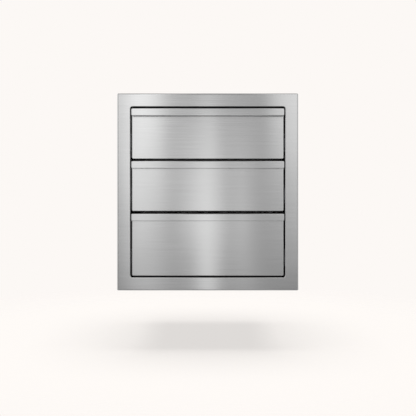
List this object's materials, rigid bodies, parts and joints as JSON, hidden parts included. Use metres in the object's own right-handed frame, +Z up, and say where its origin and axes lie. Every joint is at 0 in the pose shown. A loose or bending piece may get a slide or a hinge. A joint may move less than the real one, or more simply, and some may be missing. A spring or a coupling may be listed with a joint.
{
  "type": "outdoor kitchen drawer unit",
  "caption": "Built-in stack of stainless drawers for an outdoor kitchen island, with a flat trim frame, full-width lip handles and full-extension slides in a sheet housing.",
  "frame": {"origin": "middle of the bottom bearing strip on the back of the trim frame, in the plane of the island's face", "axes": "+X to the right seen from the front, +Y from the front into the island, +Z up"},
  "size_m": [0.4826, 0.5363, 0.5249],
  "materials": {
    "brushed_stainless": "stainless sheet, satin brushed from side to side",
    "housing_stainless": "stainless sheet, dull mill finish",
    "drawer_stainless": "stainless sheet, fine satin finish",
    "zinc_plate": "cold-rolled steel, bright zinc plate",
    "ball_cage": "zinc-plated strip with bright steel balls, lightly greased",
    "black_nylon": "moulded black nylon"
  },
  "bodies": {
    "cabinet": {"face_frame": "brushed_stainless", "housing_left_side": "housing_stainless", "housing_right_side": "housing_stainless", "housing_top": "housing_stainless", "housing_bottom": "housing_stainless", "housing_back": "housing_stainless", "top_left_cabinet_rail": "zinc_plate", "top_right_cabinet_rail": "zinc_plate", "middle_left_cabinet_rail": "zinc_plate", "middle_right_cabinet_rail": "zinc_plate", "bottom_left_cabinet_rail": "zinc_plate", "bottom_right_cabinet_rail": "zinc_plate"},
    "top_drawer": {"top_drawer_front": "brushed_stainless", "top_drawer_handle": "brushed_stainless", "top_drawer_liner": "drawer_stainless", "top_drawer_tub": "drawer_stainless", "top_drawer_back": "drawer_stainless", "top_left_drawer_rail": "zinc_plate", "top_right_drawer_rail": "zinc_plate"},
    "top_left_outer_ball_cage": {"top_left_outer_ball_cage": "ball_cage"},
    "top_left_middle_rail": {"top_left_middle_rail": "zinc_plate"},
    "top_left_inner_ball_cage": {"top_left_inner_ball_cage": "ball_cage"},
    "top_left_release_lever": {"top_left_release_lever": "black_nylon"},
    "top_right_outer_ball_cage": {"top_right_outer_ball_cage": "ball_cage"},
    "top_right_middle_rail": {"top_right_middle_rail": "zinc_plate"},
    "top_right_inner_ball_cage": {"top_right_inner_ball_cage": "ball_cage"},
    "top_right_release_lever": {"top_right_release_lever": "black_nylon"},
    "middle_drawer": {"middle_drawer_front": "brushed_stainless", "middle_drawer_handle": "brushed_stainless", "middle_drawer_liner": "drawer_stainless", "middle_drawer_tub": "drawer_stainless", "middle_drawer_back": "drawer_stainless", "middle_left_drawer_rail": "zinc_plate", "middle_right_drawer_rail": "zinc_plate"},
    "middle_left_outer_ball_cage": {"middle_left_outer_ball_cage": "ball_cage"},
    "middle_left_middle_rail": {"middle_left_middle_rail": "zinc_plate"},
    "middle_left_inner_ball_cage": {"middle_left_inner_ball_cage": "ball_cage"},
    "middle_left_release_lever": {"middle_left_release_lever": "black_nylon"},
    "middle_right_outer_ball_cage": {"middle_right_outer_ball_cage": "ball_cage"},
    "middle_right_middle_rail": {"middle_right_middle_rail": "zinc_plate"},
    "middle_right_inner_ball_cage": {"middle_right_inner_ball_cage": "ball_cage"},
    "middle_right_release_lever": {"middle_right_release_lever": "black_nylon"},
    "bottom_drawer": {"bottom_drawer_front": "brushed_stainless", "bottom_drawer_handle": "brushed_stainless", "bottom_drawer_liner": "drawer_stainless", "bottom_drawer_tub": "drawer_stainless", "bottom_drawer_back": "drawer_stainless", "bottom_left_drawer_rail": "zinc_plate", "bottom_right_drawer_rail": "zinc_plate"},
    "bottom_left_outer_ball_cage": {"bottom_left_outer_ball_cage": "ball_cage"},
    "bottom_left_middle_rail": {"bottom_left_middle_rail": "zinc_plate"},
    "bottom_left_inner_ball_cage": {"bottom_left_inner_ball_cage": "ball_cage"},
    "bottom_left_release_lever": {"bottom_left_release_lever": "black_nylon"},
    "bottom_right_outer_ball_cage": {"bottom_right_outer_ball_cage": "ball_cage"},
    "bottom_right_middle_rail": {"bottom_right_middle_rail": "zinc_plate"},
    "bottom_right_inner_ball_cage": {"bottom_right_inner_ball_cage": "ball_cage"},
    "bottom_right_release_lever": {"bottom_right_release_lever": "black_nylon"}
  },
  "joints": [
    {"name": "top_drawer_slide", "type": "slide", "parent": "cabinet", "child": "top_drawer", "axis": [0, -1, 0], "range_m": [0, 0.43]},
    {"name": "top_left_outer_ball_cage_slide", "type": "slide", "parent": "cabinet", "child": "top_left_outer_ball_cage", "axis": [0, -1, 0], "range_m": [0, 0.1075]},
    {"name": "top_left_middle_rail_slide", "type": "slide", "parent": "cabinet", "child": "top_left_middle_rail", "axis": [0, -1, 0], "range_m": [0, 0.215]},
    {"name": "top_left_inner_ball_cage_slide", "type": "slide", "parent": "cabinet", "child": "top_left_inner_ball_cage", "axis": [0, -1, 0], "range_m": [0, 0.3225]},
    {"name": "top_left_release_lever_pivot", "type": "hinge", "parent": "top_drawer", "child": "top_left_release_lever", "pos_m": [-0.199, 0.251, 0.3887], "axis": [-1, 0, 0], "range_deg": [0, 7], "stiffness_Nm_per_rad": 0.3},
    {"name": "top_right_outer_ball_cage_slide", "type": "slide", "parent": "cabinet", "child": "top_right_outer_ball_cage", "axis": [0, -1, 0], "range_m": [0, 0.1075]},
    {"name": "top_right_middle_rail_slide", "type": "slide", "parent": "cabinet", "child": "top_right_middle_rail", "axis": [0, -1, 0], "range_m": [0, 0.215]},
    {"name": "top_right_inner_ball_cage_slide", "type": "slide", "parent": "cabinet", "child": "top_right_inner_ball_cage", "axis": [0, -1, 0], "range_m": [0, 0.3225]},
    {"name": "top_right_release_lever_pivot", "type": "hinge", "parent": "top_drawer", "child": "top_right_release_lever", "pos_m": [0.199, 0.251, 0.3887], "axis": [1, 0, 0], "range_deg": [0, 7], "stiffness_Nm_per_rad": 0.3},
    {"name": "middle_drawer_slide", "type": "slide", "parent": "cabinet", "child": "middle_drawer", "axis": [0, -1, 0], "range_m": [0, 0.43]},
    {"name": "middle_left_outer_ball_cage_slide", "type": "slide", "parent": "cabinet", "child": "middle_left_outer_ball_cage", "axis": [0, -1, 0], "range_m": [0, 0.1075]},
    {"name": "middle_left_middle_rail_slide", "type": "slide", "parent": "cabinet", "child": "middle_left_middle_rail", "axis": [0, -1, 0], "range_m": [0, 0.215]},
    {"name": "middle_left_inner_ball_cage_slide", "type": "slide", "parent": "cabinet", "child": "middle_left_inner_ball_cage", "axis": [0, -1, 0], "range_m": [0, 0.3225]},
    {"name": "middle_left_release_lever_pivot", "type": "hinge", "parent": "middle_drawer", "child": "middle_left_release_lever", "pos_m": [-0.199, 0.251, 0.2495], "axis": [-1, 0, 0], "range_deg": [0, 7], "stiffness_Nm_per_rad": 0.3},
    {"name": "middle_right_outer_ball_cage_slide", "type": "slide", "parent": "cabinet", "child": "middle_right_outer_ball_cage", "axis": [0, -1, 0], "range_m": [0, 0.1075]},
    {"name": "middle_right_middle_rail_slide", "type": "slide", "parent": "cabinet", "child": "middle_right_middle_rail", "axis": [0, -1, 0], "range_m": [0, 0.215]},
    {"name": "middle_right_inner_ball_cage_slide", "type": "slide", "parent": "cabinet", "child": "middle_right_inner_ball_cage", "axis": [0, -1, 0], "range_m": [0, 0.3225]},
    {"name": "middle_right_release_lever_pivot", "type": "hinge", "parent": "middle_drawer", "child": "middle_right_release_lever", "pos_m": [0.199, 0.251, 0.2495], "axis": [1, 0, 0], "range_deg": [0, 7], "stiffness_Nm_per_rad": 0.3},
    {"name": "bottom_drawer_slide", "type": "slide", "parent": "cabinet", "child": "bottom_drawer", "axis": [0, -1, 0], "range_m": [0, 0.43]},
    {"name": "bottom_left_outer_ball_cage_slide", "type": "slide", "parent": "cabinet", "child": "bottom_left_outer_ball_cage", "axis": [0, -1, 0], "range_m": [0, 0.1075]},
    {"name": "bottom_left_middle_rail_slide", "type": "slide", "parent": "cabinet", "child": "bottom_left_middle_rail", "axis": [0, -1, 0], "range_m": [0, 0.215]},
    {"name": "bottom_left_inner_ball_cage_slide", "type": "slide", "parent": "cabinet", "child": "bottom_left_inner_ball_cage", "axis": [0, -1, 0], "range_m": [0, 0.3225]},
    {"name": "bottom_left_release_lever_pivot", "type": "hinge", "parent": "bottom_drawer", "child": "bottom_left_release_lever", "pos_m": [-0.199, 0.251, 0.0772], "axis": [-1, 0, 0], "range_deg": [0, 7], "stiffness_Nm_per_rad": 0.3},
    {"name": "bottom_right_outer_ball_cage_slide", "type": "slide", "parent": "cabinet", "child": "bottom_right_outer_ball_cage", "axis": [0, -1, 0], "range_m": [0, 0.1075]},
    {"name": "bottom_right_middle_rail_slide", "type": "slide", "parent": "cabinet", "child": "bottom_right_middle_rail", "axis": [0, -1, 0], "range_m": [0, 0.215]},
    {"name": "bottom_right_inner_ball_cage_slide", "type": "slide", "parent": "cabinet", "child": "bottom_right_inner_ball_cage", "axis": [0, -1, 0], "range_m": [0, 0.3225]},
    {"name": "bottom_right_release_lever_pivot", "type": "hinge", "parent": "bottom_drawer", "child": "bottom_right_release_lever", "pos_m": [0.199, 0.251, 0.0772], "axis": [1, 0, 0], "range_deg": [0, 7], "stiffness_Nm_per_rad": 0.3}
  ],
  "couplings": [
    {"joint": "top_left_outer_ball_cage_slide", "follows": "top_drawer_slide", "ratio": 0.25},
    {"joint": "top_left_middle_rail_slide", "follows": "top_drawer_slide", "ratio": 0.5},
    {"joint": "top_left_inner_ball_cage_slide", "follows": "top_drawer_slide", "ratio": 0.75},
    {"joint": "top_right_outer_ball_cage_slide", "follows": "top_drawer_slide", "ratio": 0.25},
    {"joint": "top_right_middle_rail_slide", "follows": "top_drawer_slide", "ratio": 0.5},
    {"joint": "top_right_inner_ball_cage_slide", "follows": "top_drawer_slide", "ratio": 0.75},
    {"joint": "middle_left_outer_ball_cage_slide", "follows": "middle_drawer_slide", "ratio": 0.25},
    {"joint": "middle_left_middle_rail_slide", "follows": "middle_drawer_slide", "ratio": 0.5},
    {"joint": "middle_left_inner_ball_cage_slide", "follows": "middle_drawer_slide", "ratio": 0.75},
    {"joint": "middle_right_outer_ball_cage_slide", "follows": "middle_drawer_slide", "ratio": 0.25},
    {"joint": "middle_right_middle_rail_slide", "follows": "middle_drawer_slide", "ratio": 0.5},
    {"joint": "middle_right_inner_ball_cage_slide", "follows": "middle_drawer_slide", "ratio": 0.75},
    {"joint": "bottom_left_outer_ball_cage_slide", "follows": "bottom_drawer_slide", "ratio": 0.25},
    {"joint": "bottom_left_middle_rail_slide", "follows": "bottom_drawer_slide", "ratio": 0.5},
    {"joint": "bottom_left_inner_ball_cage_slide", "follows": "bottom_drawer_slide", "ratio": 0.75},
    {"joint": "bottom_right_outer_ball_cage_slide", "follows": "bottom_drawer_slide", "ratio": 0.25},
    {"joint": "bottom_right_middle_rail_slide", "follows": "bottom_drawer_slide", "ratio": 0.5},
    {"joint": "bottom_right_inner_ball_cage_slide", "follows": "bottom_drawer_slide", "ratio": 0.75}
  ]
}
